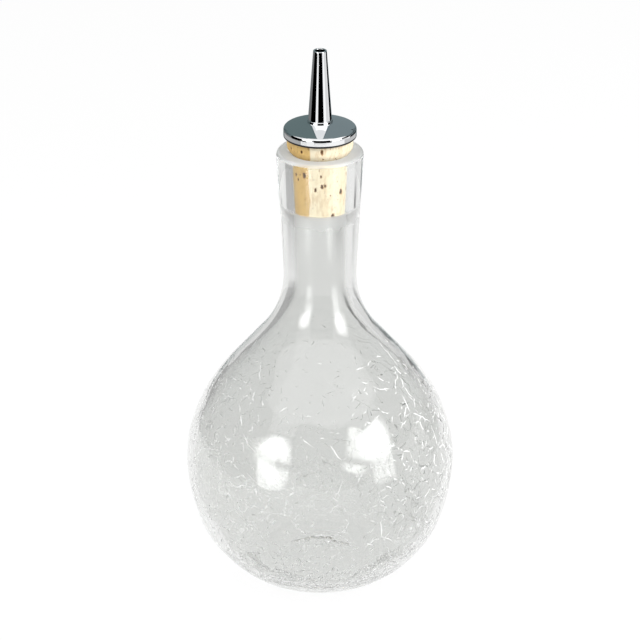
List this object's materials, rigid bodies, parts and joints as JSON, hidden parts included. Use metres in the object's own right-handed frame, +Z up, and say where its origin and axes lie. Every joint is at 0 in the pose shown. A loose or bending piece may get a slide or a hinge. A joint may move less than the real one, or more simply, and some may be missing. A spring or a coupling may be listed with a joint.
{
  "type": "bitters bottle",
  "caption": "Round-bodied crackled glass bitters bottle with a thick neck, closed by a tapered cork that carries a chromed dasher spout on a domed disc.",
  "frame": {"origin": "centre of the flat ring that the bottle stands on", "axes": "+Z up along the axis of the bottle, towards the spout; the object is round about Z, so X and Y are free"},
  "size_m": [0.092, 0.092, 0.19],
  "materials": {
    "crackle_glass": "clear blown glass, crackled on the body and smooth on the neck",
    "natural_cork": "natural cork, matt, with small dark pits",
    "polished_chrome": "mirror-polished chrome plate",
    "stem_brass": "turned brass, plain",
    "white_polymer": "plain moulded polymer"
  },
  "bodies": {
    "bottle": {"glass_bottle": "crackle_glass"},
    "stopper": {"cork_stopper": "natural_cork"},
    "dasher": {"cap_disc": "polished_chrome", "dasher_spout": "polished_chrome", "stem_tube": "stem_brass", "orifice_insert": "white_polymer"}
  },
  "joints": [
    {"name": "stopper_lift", "type": "slide", "parent": "bottle", "child": "stopper", "axis": [0, 0, 1], "range_m": [0, 0.045]},
    {"name": "dasher_swivel", "type": "hinge", "parent": "stopper", "child": "dasher", "pos_m": [0, 0, 0.1601], "axis": [0, 0, 1], "continuous": true}
  ]
}
